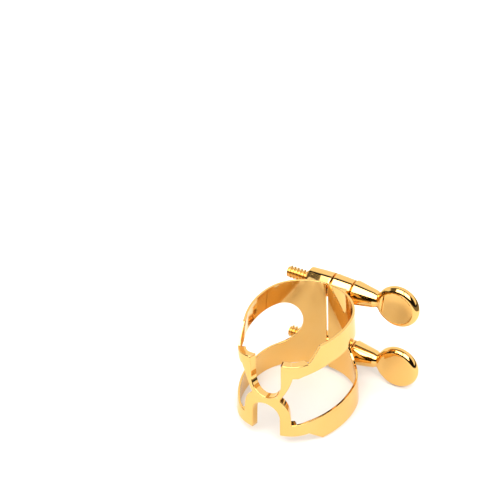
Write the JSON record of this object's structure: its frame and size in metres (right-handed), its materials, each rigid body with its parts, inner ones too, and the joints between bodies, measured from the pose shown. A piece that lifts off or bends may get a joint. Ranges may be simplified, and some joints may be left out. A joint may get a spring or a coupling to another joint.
{
  "type": "saxophone ligature",
  "caption": "Tapered oval metal spring band with an H-shaped reed plate and side windows, closed at the back by thumbscrews in brazed posts.",
  "frame": {"origin": "on the band's centre axis, in the plane of its wider lower rim, midway between the reed plate and the slit", "axes": "+Z along the mouthpiece axis towards the narrower rim and the mouthpiece tip; the reed plate faces -Y, the slit and posts are at +Y, and the thumbscrew heads point to +X"},
  "size_m": [0.0327, 0.0349, 0.0267],
  "materials": {
    "band": "polished gold plate over brass sheet",
    "posts": "polished gold plate over turned brass",
    "braze": "gold-plated brazing fillet, slightly satin",
    "screws": "polished gold plate over turned brass"
  },
  "bodies": {
    "band": {"band": "band", "upper_threaded_post": "posts", "upper_threaded_post_braze": "braze", "lower_threaded_post": "posts", "lower_threaded_post_braze": "braze"},
    "free_end": {"upper_plain_post": "posts", "upper_plain_post_braze": "braze", "lower_plain_post": "posts", "lower_plain_post_braze": "braze"},
    "upper_screw": {"upper_thumbscrew": "screws"},
    "lower_screw": {"lower_thumbscrew": "screws"}
  },
  "joints": [
    {"name": "opening", "type": "slide", "parent": "band", "child": "free_end", "axis": [1, 0, 0], "range_m": [0, 0.0048]},
    {"name": "upper_screw_turn", "type": "hinge", "parent": "free_end", "child": "upper_screw", "pos_m": [0, 0.01657, 0.02065], "axis": [1, 0, 0], "range_deg": [0, 2160]},
    {"name": "lower_screw_turn", "type": "hinge", "parent": "free_end", "child": "lower_screw", "pos_m": [0, 0.01766, 0.00365], "axis": [1, 0, 0], "range_deg": [0, 2160]}
  ],
  "couplings": [
    {"joint": "upper_screw_turn", "follows": "opening", "rad_per_m": 7854},
    {"joint": "lower_screw_turn", "follows": "opening", "rad_per_m": 7854}
  ]
}
